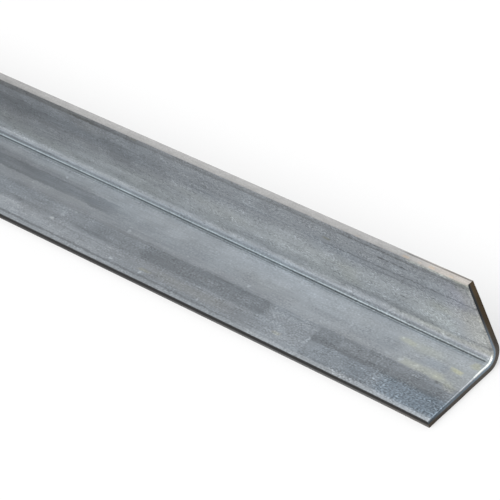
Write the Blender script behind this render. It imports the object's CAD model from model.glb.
"""One length of roll-formed steel angle, zinc plated, lying on its flat leg on a pale floor.

The angle is one closed mesh, laid out as the strip it was formed from: every point has a place along the bar,
across the strip and through its thickness. Those three numbers, in millimetres, also drive the finish, so
rolling streaks run along the bar and follow the bend.
"""

import math

import bpy
from mathutils import Matrix, Vector, noise


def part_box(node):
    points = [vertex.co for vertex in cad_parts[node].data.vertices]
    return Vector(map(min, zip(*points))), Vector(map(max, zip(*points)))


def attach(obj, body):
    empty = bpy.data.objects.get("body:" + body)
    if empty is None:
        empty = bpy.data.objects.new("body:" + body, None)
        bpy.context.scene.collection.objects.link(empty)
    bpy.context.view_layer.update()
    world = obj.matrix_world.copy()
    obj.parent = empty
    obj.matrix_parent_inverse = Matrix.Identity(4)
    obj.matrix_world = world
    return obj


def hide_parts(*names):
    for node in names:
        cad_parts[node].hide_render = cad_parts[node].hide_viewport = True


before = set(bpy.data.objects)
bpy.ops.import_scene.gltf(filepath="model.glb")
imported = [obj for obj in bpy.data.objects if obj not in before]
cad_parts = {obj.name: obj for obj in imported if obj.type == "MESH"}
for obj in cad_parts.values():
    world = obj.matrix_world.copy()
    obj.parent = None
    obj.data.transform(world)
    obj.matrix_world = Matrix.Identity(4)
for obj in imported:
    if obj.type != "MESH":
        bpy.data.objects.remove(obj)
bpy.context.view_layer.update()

MM = 0.001
LOW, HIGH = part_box("angle_section")

# All sizes are in millimetres. "Along" counts from the shown end, "across" runs over the inner side from the
# upright leg's free edge to the flat leg's, and "depth" goes from the inner side to the outer one.

# The bar. Its length and legs come from the CAD node.
LENGTH = (HIGH.x - LOW.x) / MM
LEG = (HIGH.z - LOW.z) / MM
THICKNESS = 2.66
INSIDE_RADIUS = 3.4
OUTSIDE_RADIUS = INSIDE_RADIUS + THICKNESS
STRAIGHT = LEG - OUTSIDE_RADIUS  # flat part of each leg
BEND = INSIDE_RADIUS * math.pi / 2  # length of the bend on the inner side
WIDTH = 2 * STRAIGHT + BEND  # across the inner side, from edge to edge

# Slit edges
LIP_WIDTH = 1.8
UPRIGHT_LIP = 0.25  # drop of the lip at the upright leg's free edge
FLAT_LIP = 0.08
SQUARE_BAND = 1.0
SQUARE_BAND_CHANGE = 0.25  # how far the band's depth wanders along the bar
SQUARE_BAND_WAVE = 9.0  # over about this length
TORN_LEAN = math.tan(math.radians(2))
SLIT_REACH = 2.0  # how far in from the edge the torn band's shape dies away
BURR = 0.12  # what the slitting left standing on the upright leg's outer corner, away from the ends
BURR_WIDTH = 0.5
BURR_AT_ENDS = 0.3  # share of it that stands at the ends
BURR_FULL_FROM = 90.0  # distance from an end
FRONT_BURR = 0.125  # the same on the flat leg's lower corner, close to an end
FRONT_BURR_WIDTH = 1.5
FRONT_BURR_REACH = 110.0

# Sheared ends
END_LIP = 0.42
END_SQUARE_BAND = 0.9  # depth of the smooth part, below the lip
END_TORN_LEAN = 0.03
END_REACH = 1.2  # how far in from the end its shape dies away
END_BURR = 0.38  # what the shears left standing on the upright leg's outer side
END_BURR_STARTS = 0.55  # share of the way through the thickness
END_BURR_GROWS = (-5.0, 7.0)  # across, from none to full
END_BURR_FADES = (28.0, 25.0)
END_SLANT = 0.12  # how far the flat leg's cut leans back from its lip; twice that at its tip
END_SLANT_GROWS = ((32.0, 38.0), (46.0, 52.0))
FLARE = 0.25  # how far the shears pushed the flat leg's free edge out
FLARE_WIDTH = 12.0
FLARE_REACH = 40.0

# Roughness of the torn bands
GRAIN = 0.05
GRAIN_SIZE = 1.1  # along and across
GRAIN_PER_MM = 1.5  # through the thickness
GRAIN_COMES_IN = 0.3  # depth below the square band where it is full

# The crease that the rolls left along the bend
CREASE = 30.05  # across, at the shown end
CREASE_DRIFT = -0.0056  # how far it wanders across, per mm along
CREASE_DRIFTS_TO = 172.0
CREASE_DEPTH = 0.10
CREASE_HALF_WIDTH = 0.3
CREASE_FADES = 2.5  # distance from an end where it is full

# Spacing of the mesh
EDGE_STATIONS = [0.0, 0.08, 0.2, 0.4, 0.65, 0.95, 1.25, 1.55, 1.8, 2.3]  # in from a slit edge
EDGE_ZONE = 3.0
LEG_STEP = 2.1
BEND_STEP = 0.35
CREASE_ZONE = 2.4  # closer spacing starts this far before the crease
CREASE_STEP = 0.15
LIP_STEPS = 8
END_STATIONS = [0.6, 0.9, 1.4]  # in from a sheared end, past its lip
END_ZONE = 2.0
SHOWN = 245.0  # a little more than the photo shows
SHOWN_STEP = 1.25
FAR_END_STATIONS = [2.0, 3.0, 4.0]
FAR_STEP = 3.0
DEPTH_STEPS = [0.0, 0.1, 0.22, 0.36, 0.42, 0.5, 0.6, 0.72, 0.84, 0.93, 1.0]  # shares of the thickness
SHARP_ANGLE = 38  # degrees

# The inner side's finish is too rich for one material, so it is shared out between three, across the strip.
UPRIGHT_ENDS = 29.3
FLAT_ENDS = 42.0


# ---------------------------------------------------------------- strip to space


def crease_place(x):
    """Where the crease lies across the strip, at x mm from the shown end."""
    return CREASE + CREASE_DRIFT * min(x, CREASE_DRIFTS_TO)


def in_space(x, across, depth):
    """Point of the bar, in metres, at x from the shown end, across the strip and below its inner side."""
    heel_y = HIGH.y / MM
    center_y, center_z = heel_y - OUTSIDE_RADIUS, OUTSIDE_RADIUS
    round_bend = (across - STRAIGHT) / INSIDE_RADIUS
    if across < STRAIGHT:
        y, z = heel_y - THICKNESS + depth, LEG - across
    elif round_bend < math.pi / 2:
        radius = INSIDE_RADIUS + depth
        y, z = center_y + radius * math.cos(round_bend), center_z - radius * math.sin(round_bend)
    else:
        y, z = center_y - (across - STRAIGHT - BEND), THICKNESS - depth
    return Vector((HIGH.x - x * MM, y * MM, z * MM))


def fade(distance, reach):
    """1 at no distance, falling in a straight line to 0 at reach."""
    return max(0.0, 1.0 - distance / reach)


def arc_drop(distance, width, height):
    """Drop of a lip that leaves the face smoothly at width from the edge and falls by height at the edge."""
    if distance >= width:
        return 0.0
    radius = (width * width + height * height) / (2 * height)
    return radius - math.sqrt(max(0.0, radius * radius - (width - distance) ** 2))


def rise(value, start, stop):
    """0 at start and 1 at stop, with a straight line between."""
    return min(1.0, max(0.0, (value - start) / (stop - start)))


def square_band(x):
    """Depth of a slit edge's square band, which wanders along the bar."""
    return SQUARE_BAND + SQUARE_BAND_CHANGE * noise.noise(Vector((x / SQUARE_BAND_WAVE, 0.0, 0.0)))


def inner_drop(x, across):
    """How far the inner side lies below the sheet's true face."""
    edge = min(across, WIDTH - across)
    end = min(x, LENGTH - x)
    lip = arc_drop(edge, LIP_WIDTH, UPRIGHT_LIP if across < WIDTH / 2 else FLAT_LIP)
    end_lip = arc_drop(end, END_LIP, END_LIP)
    crease = CREASE_DEPTH * fade(abs(across - crease_place(x)), CREASE_HALF_WIDTH)
    return min(lip + end_lip + crease * min(1.0, end / CREASE_FADES), THICKNESS / 2)


def torn(x, across, below_lip, band, lean):
    """How far a cut face stands back from its square band."""
    below = below_lip - band
    if below <= 0:
        return 0.0
    rough = noise.noise(Vector((x / GRAIN_SIZE, across / GRAIN_SIZE, below * GRAIN_PER_MM)))
    return below * lean + GRAIN * (0.5 + 0.5 * rough) * min(1.0, below / GRAIN_COMES_IN)


# ---------------------------------------------------------------- mesh


def spread(start, stop, step):
    """Evenly spaced numbers from start up to, but not including, stop."""
    count = max(1, round((stop - start) / step))
    return [start + (stop - start) * i / count for i in range(count)]


def across_stations():
    """From the upright leg's free edge to the flat leg's, closest together at the edges and the crease."""
    bend_ends = STRAIGHT + BEND
    crease_zone = CREASE - CREASE_ZONE
    upright = EDGE_STATIONS + spread(EDGE_ZONE, STRAIGHT, LEG_STEP)
    bend = spread(STRAIGHT, crease_zone, BEND_STEP) + spread(crease_zone, bend_ends, CREASE_STEP)
    flat = spread(bend_ends, WIDTH - EDGE_ZONE, LEG_STEP) + [WIDTH - EDGE_ZONE]
    return upright + bend + flat + [WIDTH - d for d in reversed(EDGE_STATIONS)]


def along_stations():
    """From the shown end to the far one, closest together at the ends."""
    quarter = math.pi / 2
    lip = [END_LIP * (1 - math.cos(quarter * i / LIP_STEPS)) for i in range(LIP_STEPS + 1)]
    near = lip + END_STATIONS + spread(END_ZONE, SHOWN, SHOWN_STEP)
    far = spread(SHOWN, LENGTH - FAR_END_STATIONS[-1], FAR_STEP)
    return near + far + [LENGTH - d for d in reversed(lip + END_STATIONS + FAR_END_STATIONS)]


def end_step_back(across, depth):
    """How far the cut end stands back at that depth, and out where the shears left a burr."""
    through = depth / THICKNESS
    upright = min(rise(across, *END_BURR_GROWS), rise(across, *END_BURR_FADES))
    flat = sum(rise(across, *grows) for grows in END_SLANT_GROWS)
    burr = max(0.0, (through - END_BURR_STARTS) / (1 - END_BURR_STARTS)) ** 2
    torn_back = torn(0.0, across, depth - END_LIP, END_SQUARE_BAND, END_TORN_LEAN)
    return torn_back + flat * END_SLANT * through - upright * END_BURR * burr


def slit_burr(edge, end, on_upright):
    """How far the outer side stands out at a distance from the slit edge and from the nearer end."""
    if not on_upright:
        return 0.0
    share = BURR_AT_ENDS + (1 - BURR_AT_ENDS) * min(1.0, end / BURR_FULL_FROM)
    return BURR * fade(edge, BURR_WIDTH) * share


def pushed_out(across, end, depth):
    """How far the flat leg's free edge stands out at a distance from the nearer end."""
    from_edge = WIDTH - across
    flare = FLARE * fade(end, FLARE_REACH) ** 2 * fade(from_edge, FLARE_WIDTH)
    burr = FRONT_BURR * fade(end, FRONT_BURR_REACH) * (depth / THICKNESS) ** 3
    return flare + burr * fade(from_edge, FRONT_BURR_WIDTH)


def strip_point(x, across, share):
    """(place in space, place in the strip) at a share of the way through the thickness."""
    top = inner_drop(x, across)
    edge, end = min(across, WIDTH - across), min(x, LENGTH - x)
    on_upright = across < WIDTH / 2
    depth = top + (THICKNESS + slit_burr(edge, end, on_upright) - top) * share
    side = 1 if on_upright else -1
    way = 1 if x < LENGTH / 2 else -1
    edge_back = torn(x, 0.0, depth - UPRIGHT_LIP, square_band(x), TORN_LEAN) * fade(edge, SLIT_REACH)
    end_back = end_step_back(across, depth) * fade(end, END_REACH)
    new_across = across + side * edge_back + pushed_out(across, end, depth)
    new_x = x + way * end_back
    return in_space(new_x, new_across, depth), (x, across, depth)


UPRIGHT_ZINC, FLAT_ZINC, RIM_ZINC, OUTER_ZINC, EDGE, END = range(6)  # the order of the materials


def face_kind(one, other, across, deep):
    """Material of the faces between two neighbouring corners of the ring."""
    if one[0] == other[0]:
        return EDGE
    if one[1] == deep:
        return OUTER_ZINC
    middle = (across[one[0]] + across[other[0]]) / 2
    if middle < UPRIGHT_ENDS:
        return UPRIGHT_ZINC
    return FLAT_ZINC if middle < FLAT_ENDS else RIM_ZINC


def section_ring(last, deep):
    """Corners of the section's outline, in order: (station across, step through the thickness)."""
    ring = [(i, 0) for i in range(last)] + [(last, j) for j in range(deep)]
    return ring + [(i, deep) for i in range(last, 0, -1)] + [(0, j) for j in range(deep, 0, -1)]


def build_strip():
    """Closed mesh of the bar: a ring of points round the section, repeated along the bar, and two ends."""
    across, along = across_stations(), along_stations()
    last, deep = len(across) - 1, len(DEPTH_STEPS) - 1
    ring = section_ring(last, deep)
    place_in_ring = {cell: k for k, cell in enumerate(ring)}
    points, strip, faces, kinds = [], [], [], []

    def add(x, cell):
        place, coordinates = strip_point(x, across[cell[0]], DEPTH_STEPS[cell[1]])
        points.append(place)
        strip.extend(coordinates)
        return len(points) - 1

    rings = [[add(x, cell) for cell in ring] for x in along]
    for a, b in zip(rings, rings[1:]):
        for k in range(len(ring)):
            n = (k + 1) % len(ring)
            faces.append((a[k], b[k], b[n], a[n]))
            kinds.append(face_kind(ring[k], ring[n], across, deep))

    for x, end_ring, flip in ((along[0], rings[0], False), (along[-1], rings[-1], True)):
        grid = {}
        for i in range(last + 1):
            for j in range(deep + 1):
                known = place_in_ring.get((i, j))
                grid[i, j] = end_ring[known] if known is not None else add(x, (i, j))
        for i in range(last):
            for j in range(deep):
                face = (grid[i, j], grid[i + 1, j], grid[i + 1, j + 1], grid[i, j + 1])
                faces.append(face[::-1] if flip else face)
                kinds.append(END)
    return points, strip, faces, kinds


def make_angle(materials):
    """The bar as one object, with its place in the strip kept at every point for the materials."""
    points, strip, faces, kinds = build_strip()
    mesh = bpy.data.meshes.new("angle_section_finish")
    mesh.from_pydata(points, [], faces)
    mesh.attributes.new("strip", "FLOAT_VECTOR", "POINT").data.foreach_set("vector", strip)
    for material in materials:
        mesh.materials.append(material)
    mesh.polygons.foreach_set("material_index", kinds)
    mesh.shade_smooth()
    mesh.set_sharp_from_angle(angle=math.radians(SHARP_ANGLE))
    mesh.validate(verbose=True)
    piece = bpy.data.objects.new("angle_section_finish", mesh)
    bpy.context.scene.collection.objects.link(piece)
    return piece


# ---------------------------------------------------------------- materials

FLOOR_GLOW = 0.5  # how much of the floor's white is its own where it is seen
FLOOR_GREY = 0.95
FLOOR_ROUGHNESS = 0.9
ZINC_BRIGHTNESS = 0.36
ZINC_BLUE = 0.11
FLAT_STARTS = (28.0, 32.0)  # across, from the upright leg's finish to the flat leg's
UNSEEN = (230.0, 290.0)  # along, from the finish that the photo shows to the one made up for the rest
MARK_MOVES = 1.0  # the marks' outlines are moved about by less than this across
CREASE_NEAR = 4.0  # no crease mark reaches further than this past the crease, towards the flat leg
CREASE_GREEN = 0.025  # tint along the crease
CREASE_GREEN_SPAN = (-0.9, 0.8)  # across from the crease
SCRATCH_WIDTH = 0.12

# Light, dark and tinted places on the inner side, set by hand after the photo:
# (along from, to), (across from, to), (softness along, across), change of brightness, shift to blue.
# None is open, up to the edge or the end, and a shift below 0 is to yellow. A change of brightness is a
# natural logarithm, so marks that lie over each other multiply.
UPRIGHT_MARKS = [
    # along the whole leg
    ((None, None), (None, 2.1), (1, 0.6), -0.24, -0.01),
    ((None, None), (1.3, 2.0), (1, 0.6), -0.10, 0.00),
    ((None, None), (None, 9.0), (1, 8.0), -0.13, 0.00),
    ((None, None), (None, 13.0), (1, 8.0), 0.00, 0.03),
    ((None, None), (15.0, 24.0), (1, 8.0), 0.20, -0.02),
    ((None, None), (22.5, 34.0), (1, 7.0), -0.07, 0.00),
    ((None, None), (27.0, 30.6), (1, 2.4), -0.32, 0.03),
    # duller away from the shown end, brighter and yellower next to it
    ((150, None), (None, 22.0), (110, 6.0), -0.38, 0.02),
    ((150, None), (6.5, 11.5), (60, 3.0), -0.08, 0.02),
    ((160, 198), (19.2, 22.4), (14, 1.2), 0.14, 0.00),
    ((195, None), (19.5, 26.6), (20, 1.6), 0.05, 0.00),
    ((132, 168), (28.2, 29.8), (10, 0.8), -0.13, 0.00),
    ((206, None), (6.0, 12.5), (20, 3.0), -0.16, 0.00),
    ((125, 200), (1.8, 6.5), (24, 1.5), 0.08, 0.00),
    ((None, 35), (20.5, 27.0), (40, 3.0), 0.18, -0.01),
    ((None, 22), (5.0, 20.0), (16, 5.0), 0.10, 0.00),
    ((None, 9), (12.0, 28.0), (8, 5.0), 0.03, -0.10),
    ((None, 5), (None, 14.0), (4, 4.0), 0.00, -0.08),
    ((None, 27), (None, 0.55), (4, 0.4), 0.44, -0.12),
    # lines drawn by the rolls
    ((None, 68), (9.05, 9.75), (10, 0.4), -0.32, 0.00),
    ((None, 70), (8.3, 12.6), (12, 2.0), -0.07, 0.02),
    ((78, 150), (8.7, 9.6), (20, 0.6), -0.10, 0.02),
    ((22, 56), (11.4, 12.2), (12, 0.4), -0.22, 0.00),
    ((100, 136), (11.2, 12.2), (14, 0.6), -0.10, 0.02),
    ((25, 45), (24.3, 26.6), (6, 1.0), -0.26, -0.01),
    ((45, 74), (24.6, 25.4), (6, 0.8), -0.14, 0.00),
    ((100, 120), (23.2, 25.6), (8, 1.0), -0.12, 0.00),
    ((158, 176), (23.2, 24.9), (6, 0.8), -0.09, 0.00),
    ((None, 12), (25.4, 26.3), (4, 0.7), -0.24, 0.00),
    ((25.5, 56), (1.5, 2.1), (2, 0.4), -0.26, 0.00),
    ((50, 100), (17.9, 18.4), (16, 0.3), -0.14, 0.00),
    # lighter and darker patches
    ((66, 92), (12.4, 17.5), (10, 2.0), 0.05, 0.00),
    ((72, 91), (10.8, 14.0), (5, 1.0), 0.09, 0.00),
    ((73, 94), (17.6, 21.6), (6, 1.4), 0.09, 0.00),
    ((24, 36), (5.7, 8.0), (3, 0.8), 0.12, 0.00),
    ((None, 32), (22.6, 25.2), (10, 0.8), 0.09, 0.00),
    ((162, 174), (19.0, 21.0), (5, 0.8), 0.13, 0.00),
    ((213, None), (6.0, 9.5), (10, 1.5), -0.11, 0.00),
    ((220, None), (9.0, 17.5), (8, 3.0), -0.12, 0.00),
    ((220, None), (20.2, 23.0), (8, 1.5), -0.08, 0.00),
    ((191, 204), (24.0, 29.0), (6, 1.5), 0.11, 0.00),
    ((152, 162), (20.2, 25.2), (5, 1.5), -0.08, 0.00),
    ((195, None), (None, 1.0), (20, 0.5), -0.13, 0.00),
    ((72, 150), (25.4, 27.2), (10, 0.7), 0.06, 0.00),
    ((None, 12), (4.6, 10.4), (5, 1.6), 0.12, 0.00),
    ((84, 140), (12.5, 17.5), (16, 3.0), 0.09, 0.00),
    ((36, 58), (14.2, 18.6), (12, 2.0), 0.10, 0.00),
    ((82, 112), (19.0, 24.6), (16, 3.0), 0.10, 0.00),
    ((168, 198), (13.0, 21.5), (12, 3.0), 0.14, 0.00),
    ((177, 188), (2.4, 7.0), (8, 2.0), 0.06, -0.03),
    # stains and knocks
    ((12, 22), (14.6, 18.0), (8, 2.0), 0.02, -0.06),
    ((56, 64), (16.5, 24.0), (6, 3.0), 0.00, -0.05),
    ((172, None), (None, 2.0), (20, 0.6), -0.13, -0.04),
    ((176, 190), (0.9, 1.9), (6, 0.6), -0.28, -0.06),
    ((154, 158), (0.2, 1.0), (2, 0.5), -0.16, -0.16),
    ((163, 177), (9.0, 20.0), (8, 4.0), -0.15, 0.00),
    ((181, 192), (2.6, 5.0), (5, 1.2), -0.14, 0.00),
    ((27.0, 31.0), (4.9, 5.5), (1.5, 0.4), -0.75, 0.00),
    ((31.8, 34.6), (4.6, 5.4), (1.5, 0.4), -0.65, -0.02),
    ((35.5, 37.2), (4.8, 5.3), (1.0, 0.3), -0.45, 0.00),
    ((37.8, 41.0), (4.8, 5.5), (1.5, 0.4), -0.75, 0.00),
    ((63.5, 66.5), (6.6, 7.6), (1.5, 0.6), -0.25, -0.20),
    ((65.5, 67.5), (9.7, 10.5), (1.0, 0.5), -0.40, -0.02),
    ((22.4, 23.4), (9.6, 10.4), (0.8, 0.5), -0.60, 0.00),
    ((17.4, 18.6), (8.8, 9.5), (0.8, 0.5), -0.50, 0.00),
    ((15.8, 16.7), (7.5, 8.1), (0.8, 0.4), -0.50, 0.00),
    ((34.8, 36.6), (18.8, 19.4), (0.9, 0.4), -0.45, 0.00),
]
FLAT_MARKS = [
    # bands and lines along the leg
    ((None, None), (26.0, 37.0), (1, 11.0), 0.34, 0.00),
    ((None, None), (43.1, None), (1, 0.8), -0.29, 0.03),
    ((84, None), (42.2, 43.2), (8, 0.6), -0.20, 0.00),
    ((84, None), (49.0, None), (3, 1.0), -0.06, -0.01),
    ((30, 60), (54.2, 55.1), (3, 0.5), -0.20, 0.00),
    ((92, None), (54.5, 55.2), (8, 0.4), -0.30, 0.00),
    ((None, None), (47.2, 48.5), (1, 0.6), -0.07, 0.00),
    ((84, None), (55.4, None), (3, 0.4), 0.06, 0.00),
    ((None, 84), (55.1, None), (3, 0.6), 0.20, -0.02),
    ((None, 30), (55.1, None), (16, 0.6), 0.10, 0.00),
    ((62, 100), (55.4, 56.2), (6, 0.3), 0.10, 0.00),
    ((140, 182), (55.4, 56.2), (8, 0.3), 0.11, 0.00),
    ((None, 30), (56.00, 56.5), (20, 0.3), 0.06, 0.00),
    # duller away from the shown end
    ((150, None), (31.0, 43.0), (110, 3.0), -0.17, 0.00),
    ((205, None), (32.6, 36.6), (30, 2.4), -0.30, 0.00),
    ((112, 132), (34.5, 39.0), (14, 3.0), -0.08, 0.00),
    ((82, 112), (36.5, 42.5), (16, 3.0), -0.07, 0.00),
    ((34, 50), (36.8, 40.5), (10, 2.0), -0.09, 0.01),
    ((14, 31), (36.5, 41.0), (10, 2.0), 0.08, 0.00),
    # darker strips with square ends, and what lies beside them
    ((84, 144), (43.1, 48.9), (2, 0.3), -0.22, 0.01),
    ((27, 60.5), (43.0, 49.0), (0.7, 0.3), -0.14, 0.01),
    ((27, 60.5), (46.7, 49.0), (1, 0.9), -0.10, 0.00),
    ((24, 44), (47.4, 50.4), (5, 0.8), -0.08, 0.00),
    ((61, 83), (43.1, 54.6), (2, 1.2), 0.12, 0.00),
    ((52, 80), (39.6, 43.0), (10, 2.0), 0.07, 0.00),
    ((144, 170), (44.5, 49.0), (6, 1.2), -0.10, 0.00),
    ((170, None), (34.6, 39.2), (8, 0.6), -0.28, 0.03),
    ((176, 196), (36.5, 38.0), (6, 1.0), -0.06, 0.02),
    ((150, None), (49.6, 54.6), (30, 1.0), 0.19, -0.01),
    ((177, 193), (43.2, 50.0), (6, 1.5), 0.08, 0.00),
    ((150, 192), (50.3, 50.8), (14, 0.4), -0.18, 0.00),
    # lighter and darker patches
    ((75, 100), (50.6, 53.8), (5, 0.8), -0.11, 0.00),
    ((184, 212), (33.2, 35.2), (6, 0.7), -0.12, 0.00),
    ((212, None), (37.2, 39.2), (8, 0.8), -0.13, 0.00),
    ((182, 202), (42.3, 44.3), (6, 0.6), 0.09, 0.00),
    ((142, 162), (42.2, 43.3), (4, 0.5), -0.11, 0.00),
    ((34, 62), (42.2, 43.2), (5, 0.5), -0.10, 0.00),
    ((64, 82), (43.2, 46.6), (4, 0.8), 0.08, 0.00),
    ((22, 31), (44.2, 47.0), (4, 0.8), 0.09, 0.00),
    ((43, 51), (44.0, 46.2), (4, 0.8), 0.08, 0.00),
    ((120, 146), (45.2, 48.2), (8, 0.8), -0.09, 0.00),
    ((83, 92), (45.9, 47.4), (4, 0.6), -0.10, 0.00),
    ((150, 164), (49.2, 51.2), (6, 0.8), 0.09, 0.00),
    ((192, None), (49.3, 54.0), (10, 1.0), 0.07, 0.00),
    ((172, 182), (50.9, 52.8), (5, 0.8), 0.08, 0.00),
    ((152, 164), (55.2, 56.3), (4, 0.3), 0.10, 0.00),
    ((184, 202), (47.0, 51.0), (6, 1.2), -0.09, 0.00),
    ((183, 192), (38.2, 39.4), (4, 0.6), 0.10, 0.00),
    ((120, 134), (31.0, 41.5), (8, 3.0), -0.06, 0.00),
    ((13, 21), (49.2, 52.2), (4, 0.8), -0.10, 0.00),
    ((72, 82), (54.2, 55.2), (4, 0.5), 0.10, 0.00),
    ((46, 50), (44.6, 47.4), (1.2, 0.8), 0.12, 0.00),
    ((32.6, 33.4), (43.8, 47.6), (0.5, 0.6), 0.16, 0.00),
    ((38.0, 38.6), (44.6, 46.8), (0.5, 0.6), 0.14, 0.00),
    ((198, 216), (47.6, 49.0), (8, 0.5), -0.10, 0.00),
    ((160, 178), (47.8, 49.1), (6, 0.5), -0.12, 0.00),
    ((220, None), (31.0, 33.4), (8, 0.8), -0.11, 0.00),
    ((80, 94), (36.2, 37.3), (5, 0.5), -0.10, 0.00),
    ((150, 206), (36.2, 37.2), (8, 0.4), -0.09, 0.00),
    ((183, 192), (33.2, 34.2), (4, 0.5), -0.10, 0.00),
    ((None, 14), (55.3, 56.2), (5, 0.3), 0.10, 0.00),
    ((None, 36), (30.3, 31.3), (8, 0.5), 0.09, 0.00),
    # dark, blue, blotchy corner at the end
    ((3, 27), (45.2, 49.0), (6, 1.2), -0.22, 0.00),
    ((None, 60), (48.8, 55.0), (16, 1.5), 0.00, 0.06),
    ((None, 26), (48.2, 55.2), (8, 2.4), -0.14, 0.10),
    ((None, 12), (46.4, 55.2), (14, 2.4), -0.18, 0.03),
    ((31, 40), (50.8, 54.4), (5, 1.6), -0.16, 0.02),
    # thin yellow stains, and a bluer place among them
    ((None, 32), (32.0, 43.5), (14, 3.0), 0.00, -0.03),
    ((10, 20), (36.8, 39.6), (5, 1.4), -0.03, 0.06),
    ((27.5, 33), (34.2, 35.9), (2.4, 0.9), 0.04, -0.15),
    ((15, 28), (33.8, 36.6), (8, 1.8), 0.07, -0.08),
    ((9, 27), (40.4, 42.9), (5, 1.2), 0.13, -0.13),
    ((4, 12), (41.4, 43.7), (4, 1.2), 0.12, -0.10),
    ((1.6, 6.5), (42.8, 45.0), (2.4, 1.2), 0.10, -0.12),
    ((4.3, 9.0), (36.5, 37.9), (2, 0.8), 0.08, -0.31),
    ((1.2, 4.4), (31.6, 34.0), (1.4, 1.2), -0.04, -0.22),
    ((71.5, 75.5), (51.5, 52.5), (1.8, 0.6), 0.02, -0.16),
    ((134, 140), (51.9, 52.8), (3, 0.7), 0.00, -0.18),
    ((96, 132), (50.2, 53.2), (14, 1.6), 0.00, -0.07),
    # small bright and dark spots and lines
    ((156.9, 158.3), (40.8, 41.7), (0.8, 0.5), 0.36, 0.00),
    ((151.8, 153.2), (53.0, 53.8), (0.8, 0.5), 0.40, 0.00),
    ((136.9, 138.3), (53.1, 54.1), (0.8, 0.5), 0.46, 0.00),
    ((109.0, 110.2), (53.1, 54.0), (0.8, 0.5), 0.34, 0.00),
    ((97.0, 98.2), (40.7, 41.8), (0.8, 0.5), 0.34, 0.00),
    ((199.0, 200.4), (32.4, 33.3), (0.8, 0.5), 0.34, 0.00),
    ((187.8, 189.3), (49.0, 49.9), (0.8, 0.5), 0.40, -0.05),
    ((186.2, 187.8), (52.0, 53.0), (0.8, 0.5), 0.26, 0.00),
    ((184.8, 186.6), (46.0, 47.4), (0.8, 0.5), 0.24, 0.00),
    ((61.2, 61.8), (48.3, 50.4), (0.4, 0.6), 0.44, 0.00),
    ((31.8, 34.8), (41.2, 42.0), (1.2, 0.5), 0.14, 0.00),
    ((28.4, 29.8), (51.1, 51.9), (0.8, 0.5), 0.36, 0.00),
    ((26.6, 28.4), (41.1, 42.4), (0.9, 0.8), 0.24, 0.00),
    ((19.6, 20.9), (40.8, 41.9), (0.9, 0.6), 0.24, 0.00),
    ((62, 80), (44.0, 44.4), (4, 0.3), -0.22, 0.00),
    ((41.4, 42.3), (44.8, 45.5), (0.5, 0.4), -0.50, 0.00),
    ((8.6, 9.9), (43.4, 44.1), (0.6, 0.4), -0.40, 0.00),
]
# The same, along from the nearer end and across from the middle of the crease
CREASE_MARKS = [
    ((1.7, None), (-3.20, -1.50), (1.2, 0.9), 0.17, 0.00),
    ((170, None), (-3.80, -2.50), (30, 0.8), 0.12, 0.00),
    ((90, 130), (-3.80, -2.70), (20, 0.8), -0.12, 0.00),
    ((2.4, 64), (-1.80, -0.70), (12, 0.5), -0.14, 0.00),
    ((1.7, None), (-1.30, -0.50), (1.2, 0.5), -0.32, 0.05),
    ((1.7, None), (-0.48, -0.26), (1.2, 0.2), 0.40, 0.03),
    ((1.7, None), (-0.19, 0.27), (1.2, 0.2), -1.05, 0.04),
    ((120, 170), (-0.30, -0.02), (30, 0.2), 0.16, 0.00),
    ((92, 142), (0.42, 1.00), (16, 0.4), -0.20, 0.00),
    ((60, 92), (-3.00, -2.40), (10, 0.4), -0.13, 0.00),
    ((60, 92), (-2.10, -1.50), (10, 0.4), 0.13, 0.00),
    ((60, 92), (-0.05, 0.35), (10, 0.2), -0.25, 0.00),
    ((25, 60), (0.30, 0.50), (10, 0.2), 0.18, 0.00),
    ((25, 60), (0.62, 0.95), (10, 0.3), -0.18, 0.00),
    ((20, 45), (-0.30, 0.00), (10, 0.2), 0.12, 0.00),
    ((None, 22), (-0.55, -0.30), (6, 0.2), -0.18, 0.00),
    ((None, 22), (0.10, 0.35), (6, 0.2), -0.28, 0.00),
    ((60, None), (-2.10, 0.50), (60, 0.6), 0.00, 0.06),
    ((80, 120), (0.95, 2.10), (20, 0.5), 0.12, 0.00),
    ((None, 30), (-1.70, -0.85), (20, 0.4), 0.22, 0.00),
    ((205, None), (-1.60, -0.80), (24, 0.4), -0.28, 0.00),
    ((205, None), (1.30, 2.00), (24, 0.5), -0.12, 0.00),
    ((180, None), (0.15, 0.80), (30, 0.4), -0.18, 0.00),
    ((1.7, None), (0.55, 0.85), (1.2, 0.3), -0.16, 0.00),
    ((20, 205), (0.95, 1.30), (10, 0.3), 0.14, 0.00),
    ((None, 22), (1.30, 1.80), (6, 0.4), -0.13, 0.00),
    ((None, 40), (-3.40, -1.90), (30, 0.8), 0.00, -0.08),
    ((128, 144), (-1.30, 0.80), (8, 0.5), -0.09, 0.00),
    ((1.7, None), (0.30, 1.30), (1.2, 1.0), -0.24, 0.05),
]
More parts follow.
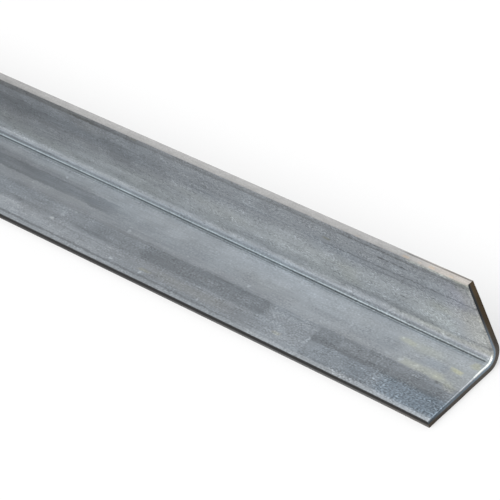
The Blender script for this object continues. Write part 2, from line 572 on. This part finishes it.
# The same, along from the nearer end: the rims of the cuts. Their outlines aren't moved about.
RIM_MARKS = [
    ((26, None), (56.55, None), (14, 0.1), -0.95, -0.06),
    ((45, 140), (56.55, None), (16, 0.1), -0.95, 0.00),
    ((None, 28), (56.61, None), (8, 0.08), -1.05, -0.04),
    ((0.00, 0.56), (27.6, 32.0), (0.3, 1.6), 0.94, -0.10),
    ((0.06, 0.60), (32.0, 36.8), (0.3, 1.6), 0.92, -0.10),
    ((0.06, 0.40), (36.8, None), (0.2, 3.0), 0.50, 0.03),
    ((None, 0.10), (33.0, None), (0.1, 3.0), -0.45, 0.00),
    ((None, 0.30), (54.6, None), (0.2, 1.0), -0.45, 0.00),
    ((None, 0.90), (None, 17.0), (0.6, 3.0), 0.12, -0.03),
    ((None, 0.12), (5.0, 17.5), (0.1, 3.0), -0.36, 0.00),
    ((None, 0.12), (17.5, 27.4), (0.1, 3.0), -0.16, 0.00),
    ((None, 1.10), (5.2, 10.8), (0.5, 1.5), -0.20, 0.00),
    ((None, 1.20), (22.4, 26.0), (0.6, 0.8), -0.14, 0.00),
    ((None, 1.30), (17.5, 27.4), (0.9, 1.6), -0.17, 0.00),
]
# Scratches: middle along, place across there, length along, rise across per mm along, change of brightness
SCRATCHES = [
    (81.5, 45.6, 6.5, -0.62, 0.30),
    (84.5, 46.4, 4.0, -0.75, 0.24),
    (77.0, 44.8, 3.5, -0.50, 0.26),
    (118.0, 36.0, 9.0, 0.16, 0.10),
]
# Rust on the free edges: (along from, to), (depth from, to), (softness along, in depth), shift to blue
RUST_SPECKS = [
    ((25.4, 28.2), (0.5, 1.3), (1.0, 0.4), -0.26),
    ((14.6, 17.0), (0.6, 1.4), (1.0, 0.4), -0.22),
    ((20.2, 21.6), (0.6, 1.2), (0.8, 0.4), -0.12),
    ((6.4, 8.2), (0.5, 1.2), (1.0, 0.4), -0.14),
    ((47.5, 49.0), (0.3, 0.9), (1.0, 0.4), -0.10),
    ((311.0, 315.0), (0.4, 1.5), (1.5, 0.5), -0.24),
    ((604.0, 607.0), (0.6, 1.6), (1.5, 0.5), -0.20),
]


class Shades:
    """Adds nodes to one material. A method that works out a value returns the output that holds it."""

    def __init__(self, material):
        self.tree = material.node_tree
        self.shader = self.tree.nodes["Principled BSDF"]
        self.strip = self.node("Attribute", {}, "Vector", attribute_name="strip")
        self.along, self.across, self.depth = self.split(self.strip)

    def node(self, kind, inputs, output=0, **settings):
        """Any node. Each input is a value or the output of another node."""
        made = self.tree.nodes.new("ShaderNode" + kind)
        for name, value in settings.items():
            setattr(made, name, value)
        for key, value in inputs.items():
            if isinstance(value, bpy.types.NodeSocket):
                self.tree.links.new(value, made.inputs[key])
            else:
                made.inputs[key].default_value = value
        return made.outputs[output]

    def math(self, operation, *values):
        return self.node("Math", dict(enumerate(values)), operation=operation)

    def times(self, one, other):
        return self.math("MULTIPLY", one, other)

    def add(self, what, amount, base):
        """what, times amount, added to base."""
        return self.math("MULTIPLY_ADD", what, amount, base)

    def vector(self, operation, *values):
        return self.node("VectorMath", dict(enumerate(values)), operation=operation)

    def step(self, value, start, stop):
        """0 before start and 1 after stop, with a smooth rise. It falls where stop is less than start."""
        return self.node("MapRange", {0: value, 1: start, 2: stop}, interpolation_type="SMOOTHSTEP")

    def noise(self, place, size, detail=2.0, roughness=0.5):
        """Noise from -1 to 1 whose blots are about size mm along, across and through the strip."""
        scaled = self.vector("DIVIDE", place, size)
        inputs = {"Vector": scaled, "Scale": 1.0, "Detail": detail, "Roughness": roughness}
        return self.node("MapRange", {0: self.node("TexNoise", inputs), 1: 0.0, 2: 1.0, 3: -1.0, 4: 1.0})

    def shifted(self, place, size, reach):
        """place, moved by up to half of reach mm either way, in blots of about size mm."""
        scaled = self.vector("DIVIDE", place, size)
        blots = self.node("TexNoise", {"Vector": scaled, "Scale": 1.0, "Detail": 1.0}, "Color")
        return self.vector("MULTIPLY_ADD", self.vector("SUBTRACT", blots, (0.5, 0.5, 0.5)), reach, place)

    def window(self, value, span, softness):
        """1 where value lies within span and 0 outside it. An end of span that is None is open."""
        start, stop = span
        half_soft = softness / 2
        if start is None and stop is None:
            return 1.0
        if stop is None:
            return self.step(value, start - half_soft, start + half_soft)
        if start is None:
            return self.step(value, stop + half_soft, stop - half_soft)
        middle, half = (start + stop) / 2, (stop - start) / 2
        away = self.math("ABSOLUTE", self.math("SUBTRACT", value, middle))
        return self.step(away, half + half_soft, half - half_soft)

    def mark(self, place, along, second, softness):
        """1 inside a soft rectangle and 0 outside it. The sides are spans of place's first two numbers,
        which are (along, across) on the sheet and (along, depth) on a slit edge."""
        inside_along = self.window(place[0], along, softness[0])
        return self.times(inside_along, self.window(place[1], second, softness[1]))

    def split(self, place):
        """The three numbers, along, across and depth, of a place."""
        axes = self.tree.nodes.new("ShaderNodeSeparateXYZ")
        self.tree.links.new(place, axes.inputs[0])
        return tuple(axes.outputs)

    def color(self, brightness, blue, green=0.0):
        """Grey of that brightness, shifted to blue, or to yellow where blue is negative, and to green."""
        red_light, blue_light = [self.times(brightness, self.add(blue, way, 1.0)) for way in (-0.5, 0.5)]
        green_light = self.add(brightness, green, brightness)
        return self.node("CombineColor", {0: red_light, 1: green_light, 2: blue_light})

    def set(self, name, value):
        """Gives the shader a value or the output of a node."""
        if isinstance(value, bpy.types.NodeSocket):
            self.tree.links.new(value, self.shader.inputs[name])
        else:
            self.shader.inputs[name].default_value = value

    def bump(self, height_mm):
        height = self.node("Bump", {"Height": height_mm, "Distance": MM, "Strength": 1.0}, "Normal")
        self.tree.links.new(height, self.shader.inputs["Normal"])


def new_material(name):
    material = bpy.data.materials.new(name)
    material.use_nodes = True
    return material


def seen_rays(tree):
    """1 for rays from the camera, or through gloss or glass, and 0 for rays that only carry light."""
    path = tree.nodes.new("ShaderNodeLightPath")
    seen = path.outputs["Is Camera Ray"]
    for name in ("Is Glossy Ray", "Is Transmission Ray"):
        either = tree.nodes.new("ShaderNodeMath")
        either.operation = "MAXIMUM"
        tree.links.new(seen, either.inputs[0])
        tree.links.new(path.outputs[name], either.inputs[1])
        seen = either.outputs[0]
    return seen


def floor_white():
    """White where it is seen, with the object's shadow kept, and a plain white floor as a light."""
    material = new_material("floor_white")
    tree = material.node_tree
    shader = tree.nodes["Principled BSDF"]
    shader.inputs["Base Color"].default_value = (FLOOR_GREY, FLOOR_GREY, FLOOR_GREY, 1)
    shader.inputs["Roughness"].default_value = FLOOR_ROUGHNESS
    glow = tree.nodes.new("ShaderNodeEmission")
    mixed = tree.nodes.new("ShaderNodeMixShader")
    part = tree.nodes.new("ShaderNodeMath")
    part.operation = "MULTIPLY"
    part.inputs[1].default_value = FLOOR_GLOW
    tree.links.new(seen_rays(tree), part.inputs[0])
    tree.links.new(part.outputs[0], mixed.inputs[0])
    tree.links.new(shader.outputs[0], mixed.inputs[1])
    tree.links.new(glow.outputs[0], mixed.inputs[2])
    tree.links.new(mixed.outputs[0], tree.nodes["Material Output"].inputs["Surface"])
    return material


def reaching(marks, low, high):
    """The marks that touch the strip between low and high across it."""
    found = []
    for mark in marks:
        start, stop = mark[1]
        margin = mark[2][1] / 2 + MARK_MOVES
        if (start is None or start - margin < high) and (stop is None or stop + margin > low):
            found.append(mark)
    return found


def add_marks(s, worn, low, high, blue):
    """(change of brightness, shift to blue, shift to green) of the marks between low and high across."""
    end = s.math("MINIMUM", s.along, s.math("SUBTRACT", LENGTH, s.along))
    drift = s.times(s.math("MINIMUM", s.along, CREASE_DRIFTS_TO), CREASE_DRIFT)
    by_crease = (end, s.math("SUBTRACT", s.math("SUBTRACT", s.across, CREASE), drift))
    light, green = 0.0, 0.0
    near_crease = low < CREASE + CREASE_NEAR
    groups = (
        (reaching(UPRIGHT_MARKS + FLAT_MARKS, low, high), worn),
        (CREASE_MARKS if near_crease else [], by_crease),
        (reaching(RIM_MARKS, low, high), (end, s.across)),
    )
    for marks, place in groups:
        for along, across, softness, change, shift in marks:
            mask = s.mark(place, along, across, softness)
            if change:
                light = s.add(mask, change, light)
            if shift:
                blue = s.add(mask, shift, blue)
    for middle, height, length, rise_per_mm, change in SCRATCHES:
        if low < height < high:
            sloped = s.add(s.math("SUBTRACT", s.along, middle), -rise_per_mm, s.across)
            run = (middle - length / 2, middle + length / 2)
            mask = s.mark((s.along, sloped), run, (height, height + SCRATCH_WIDTH), (2, 0.2))
            light = s.add(mask, change, light)
    if near_crease:
        green = s.times(s.window(by_crease[1], CREASE_GREEN_SPAN, 1.0), CREASE_GREEN)
    return light, blue, green


def zinc_wear(s, worn, upright):
    """(where it is blotchy, strength of the drawn streaks, strength of the grain) from place to place."""
    smooth = s.mark(worn, (None, None), (30.5, 43.0), (1, 1.5))  # the flat leg, next to the bend
    blotchy = s.mark(worn, (None, 38), (48.0, 55.5), (48, 2.4))  # the flat leg's corner at the shown end
    far = s.step(s.along, 40.0, 90.0)
    drawn = s.add(s.step(s.along, 110.0, 190.0), 0.4, s.add(blotchy, -0.3, 1.0))
    rough = s.add(smooth, -0.45, s.add(blotchy, 0.35, 1.0))
    rough = s.add(upright, 0.25, s.add(far, -0.12, rough))
    # weaker low on the upright leg, and more so where the bend starts
    rough = s.add(s.window(s.across, (14.0, 29.0), 3.0), -0.12, rough)
    rough = s.add(s.window(s.across, (26.4, 29.4), 1.4), -0.30, rough)
    rough = s.times(rough, s.add(s.noise(s.strip, (7, 3, 3), 2.0), 1.5, 0.94))
    return blotchy, drawn, rough


def zinc_sheet(name, low=None, high=None):
    """Dull, streaky zinc plating, on the inner side between low and high across, or on the outer side."""
    material = new_material(name)
    s = Shades(material)
    soft = s.shifted(s.strip, (14.0, 9.0, 3.0), (5.0, 0.9, 0.0))
    worn = s.split(s.shifted(soft, (2.2, 1.2, 2.0), (2.4, 0.9, 0.0)))
    if low is None:
        flat, upright, unseen = 0.0, 1.0, 1.0
        light, blue, crease_green = 0.0, ZINC_BLUE, 0.0
    else:
        flat = s.step(s.across, *FLAT_STARTS)
        upright = s.math("SUBTRACT", 1.0, flat)
        unseen = s.step(s.along, *UNSEEN)
        start_blue = s.add(flat, 0.03, ZINC_BLUE)
        light, blue, crease_green = add_marks(s, worn, low, high, start_blue)

    mottle = s.math("ADD", s.noise(s.strip, (70, 16, 3)), s.noise(s.strip, (16, 6, 3)))
    cloud = s.noise(s.strip, (8, 4.5, 3), 4.0, 1.0)
    smears = s.noise(s.strip, (12, 2.2, 2))
    streaks = s.math("ADD", s.noise(s.strip, (60, 0.9, 1)), s.noise(s.strip, (14, 0.35, 1)))
    grain = s.noise(s.strip, (0.9, 0.5, 0.5), 1.0)
    blots = s.noise(s.strip, (0.9, 0.6, 1.0), 1.0)
    pits = s.step(s.noise(s.strip, (2.4, 0.8, 1.0), 1.0), -0.20, -0.50)
    specks = s.step(s.noise(s.strip, (1.3, 0.9, 1.0), 1.0), 0.22, 0.50)
    strips = s.step(s.noise(s.strip, (160, 5, 4), 1.0), 0.06, 0.16)
    patches = s.step(s.noise(soft, (26, 9, 4)), -0.05, -0.35)
    blotchy, drawn, rough = zinc_wear(s, worn, upright)
    light = s.add(mottle, 0.09, light)
    layers = (  # pattern, where it shows, change of brightness
        (cloud, rough, 0.50),
        (smears, drawn, 0.15),
        (streaks, drawn, 0.11),
        (grain, s.math("DIVIDE", rough, drawn), 0.62),
        (pits, upright, -0.36),
        (blots, blotchy, 0.33),
        (specks, flat, 0.16),
        (strips, unseen, -0.16),
        (patches, unseen, -0.12),
    )
    for pattern, where, change in layers:
        light = s.add(s.times(pattern, where), change, light)
    blue = s.add(s.noise(s.strip, (30, 7, 3)), 0.05, blue)
    rusty = s.mark(worn, (None, 11), (3.0, 28.0), (12, 6.0))
    green = s.math("MAXIMUM", s.add(blue, -0.38, 0.05), 0.0)
    green = s.math("ADD", s.add(rusty, -0.035, green), crease_green)

    brightness = s.times(s.math("EXPONENT", light), ZINC_BRIGHTNESS)
    s.set("Base Color", s.color(brightness, blue, green))
    s.set("Metallic", 0.6)
    s.set("Roughness", s.add(cloud, 0.15, s.add(flat, -0.05, 0.52)))
    s.bump(s.add(grain, 0.010, s.times(streaks, 0.006)))
    return material


def slit_edge():
    """The two free edges: pale on the upright leg, dark on the flat leg and scraped paler below."""
    material = new_material("slit_edge")
    s = Shades(material)
    place = (s.along, s.depth)
    front = s.step(s.across, 20.0, 40.0)
    near = s.step(s.along, 30.0, 8.0)
    top = s.add(near, 0.10, s.add(s.step(s.depth, 1.0, 2.0), 0.03, 0.40))
    # darker at the outer corner near the shown end, then a little darker at the lip and further along
    top = s.add(s.mark(place, (None, 29), (2.05, 2.5), (6, 0.3)), -0.22, top)
    top = s.add(s.mark(place, (None, 12), (2.25, 2.9), (6, 0.3)), -0.16, top)
    top = s.add(s.step(s.depth, 0.8, 0.3), -0.05, top)
    top = s.add(s.step(s.along, 190.0, 225.0), -0.05, top)
    scraped = s.add(s.step(s.along, 85.0, 160.0), -0.07, 0.155)
    under = s.add(s.step(s.depth, 1.1, 2.5), scraped, 0.016)
    light = s.add(front, s.math("SUBTRACT", under, top), top)
    grain = s.noise(s.strip, (0.8, 0.5, 0.4), 1.0)
    stains = s.noise(s.strip, (5.0, 1.2, 1.0), 2.0)
    light = s.times(light, s.add(grain, 0.25, s.add(stains, 0.2, 1.0)))
    blue = s.add(near, -0.12, -0.01)
    for along, depth, softness, shift in RUST_SPECKS:
        blue = s.add(s.mark(place, along, depth, softness), shift, blue)
    s.set("Base Color", s.color(light, blue))
    s.set("Metallic", 0.5)
    s.set("Specular IOR Level", 0.1)
    s.set("Roughness", s.add(grain, 0.05, 0.6))
    s.bump(s.times(grain, 0.02))
    return material


def sheared_end():
    """The cut ends: a blue burnished band inside and brown torn metal outside, darker to the free edges."""
    material = new_material("sheared_end")
    s = Shades(material)
    torn_part = s.step(s.depth, 0.85, 1.5)
    bend = s.step(s.across, 11.4, 28.5)
    flat = s.step(s.across, 33.0, 42.0)
    tip = s.step(s.across, 50.0, 56.0)
    heel = s.window(s.across, (25.5, 49.0), 3.0)
    tail = s.window(s.across, (5.5, 17.0), 3.0)
    grain = s.noise(s.strip, (0.6, 0.5, 0.4), 1.0)
    burnished = s.add(bend, 0.245, 0.028)
    burnished = s.add(flat, -0.10, burnished)
    burnished = s.add(tip, -0.11, burnished)
    deep = s.times(s.step(s.depth, 1.5, 2.0), s.window(s.across, (27.0, 40.0), 3.0))
    torn_light = s.add(heel, 0.022, s.add(tail, -0.014, 0.050))
    torn_light = s.add(deep, 0.016, torn_light)
    light = s.add(torn_part, s.math("SUBTRACT", torn_light, burnished), burnished)
    light = s.add(s.times(s.window(s.depth, (0.15, 0.5), 0.1), light), -0.25, light)
    light = s.times(light, s.add(grain, 0.3, 1.0))
    cold = s.add(bend, 0.18, 0.28)
    brown = s.add(s.step(s.across, 12.0, 27.0), 0.70, -0.95)
    brown = s.add(tip, -0.30, brown)
    s.set("Base Color", s.color(light, s.add(torn_part, s.math("SUBTRACT", brown, cold), cold)))
    s.set("Metallic", 0.5)
    s.set("Specular IOR Level", 0.2)
    s.set("Roughness", s.add(grain, 0.05, 0.5))
    s.bump(s.times(grain, 0.02))
    return material


angle = make_angle([
    zinc_sheet("zinc_upright", 0.0, UPRIGHT_ENDS),
    zinc_sheet("zinc_flat", UPRIGHT_ENDS, FLAT_ENDS),
    zinc_sheet("zinc_rim", FLAT_ENDS, WIDTH),
    zinc_sheet("zinc_outer"),
    slit_edge(),
    sheared_end(),
])
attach(angle, "root")
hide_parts("angle_section")

# ---------------------------------------------------------------- stage

FLOOR_HALF = 40.0  # metres
WORLD_LIGHT = 0.70  # how bright the world is as a light; where it is seen it is 1

# The camera, as fitted to the photo
CAMERA_PLACE = (1.16283, -0.419945, 0.69373)  # metres
CAMERA_AZIMUTH = 62.11  # degrees, as in the views
CAMERA_ELEVATION = 36.82
CAMERA_ROLL = -23.87
CAMERA_LENS = 264.9
CAMERA_SENSOR = 36
CAMERA_SEES_TO = 200  # metres


def make_floor():
    """Plain pale floor, far larger than the view."""
    half = FLOOR_HALF
    mesh = bpy.data.meshes.new("floor")
    corners = [(-half, -half, 0), (half, -half, 0), (half, half, 0), (-half, half, 0)]
    mesh.from_pydata(corners, [], [(0, 1, 2, 3)])
    mesh.materials.append(floor_white())
    floor = bpy.data.objects.new("floor", mesh)
    bpy.context.scene.collection.objects.link(floor)


def make_world():
    """White all round where it is seen, a little dimmer as a light."""
    world = bpy.data.worlds.new("studio")
    world.use_nodes = True
    bpy.context.scene.world = world
    tree = world.node_tree
    background = tree.nodes["Background"]
    background.inputs["Color"].default_value = (1, 1, 1, 1)
    strength = tree.nodes.new("ShaderNodeMapRange")
    strength.inputs["To Min"].default_value = WORLD_LIGHT
    strength.inputs["To Max"].default_value = 1.0
    tree.links.new(seen_rays(tree), strength.inputs["Value"])
    tree.links.new(strength.outputs["Result"], background.inputs["Strength"])


def add_sun(name, azimuth, elevation, strength, softness):
    """Distant soft lamp. Azimuth 0 shines along +Y, as in the views."""
    light = bpy.data.lights.new(name, "SUN")
    light.energy = strength
    light.angle = math.radians(softness)
    sun = bpy.data.objects.new(name, light)
    a, e = math.radians(azimuth), math.radians(elevation)
    towards = Vector((math.sin(a) * math.cos(e), -math.cos(a) * math.cos(e), math.sin(e)))
    sun.rotation_euler = towards.to_track_quat("Z", "Y").to_euler()
    bpy.context.scene.collection.objects.link(sun)


def make_camera():
    """The camera, looking along the photo's own line."""
    azimuth, elevation = math.radians(CAMERA_AZIMUTH), math.radians(CAMERA_ELEVATION)
    roll = math.radians(CAMERA_ROLL)
    back = Vector((
        math.cos(elevation) * math.sin(azimuth),
        -math.cos(elevation) * math.cos(azimuth),
        math.sin(elevation),
    ))
    level = Vector((math.cos(azimuth), math.sin(azimuth), 0))
    upward = back.cross(level)
    right = level * math.cos(roll) + upward * math.sin(roll)
    up = back.cross(right)
    camera_data = bpy.data.cameras.new("camera")
    camera_data.lens = CAMERA_LENS
    camera_data.sensor_width = CAMERA_SENSOR
    camera_data.clip_end = CAMERA_SEES_TO
    camera = bpy.data.objects.new("camera", camera_data)
    turn = Matrix((right, up, back)).transposed().to_4x4()
    camera.matrix_world = Matrix.Translation(CAMERA_PLACE) @ turn
    bpy.context.scene.collection.objects.link(camera)
    bpy.context.scene.camera = camera


make_floor()
make_world()
add_sun("key", azimuth=-5, elevation=55, strength=1.4, softness=45)
add_sun("fill", azimuth=240, elevation=50, strength=0.25, softness=70)
make_camera()
bpy.context.scene.view_settings.view_transform = "Standard"
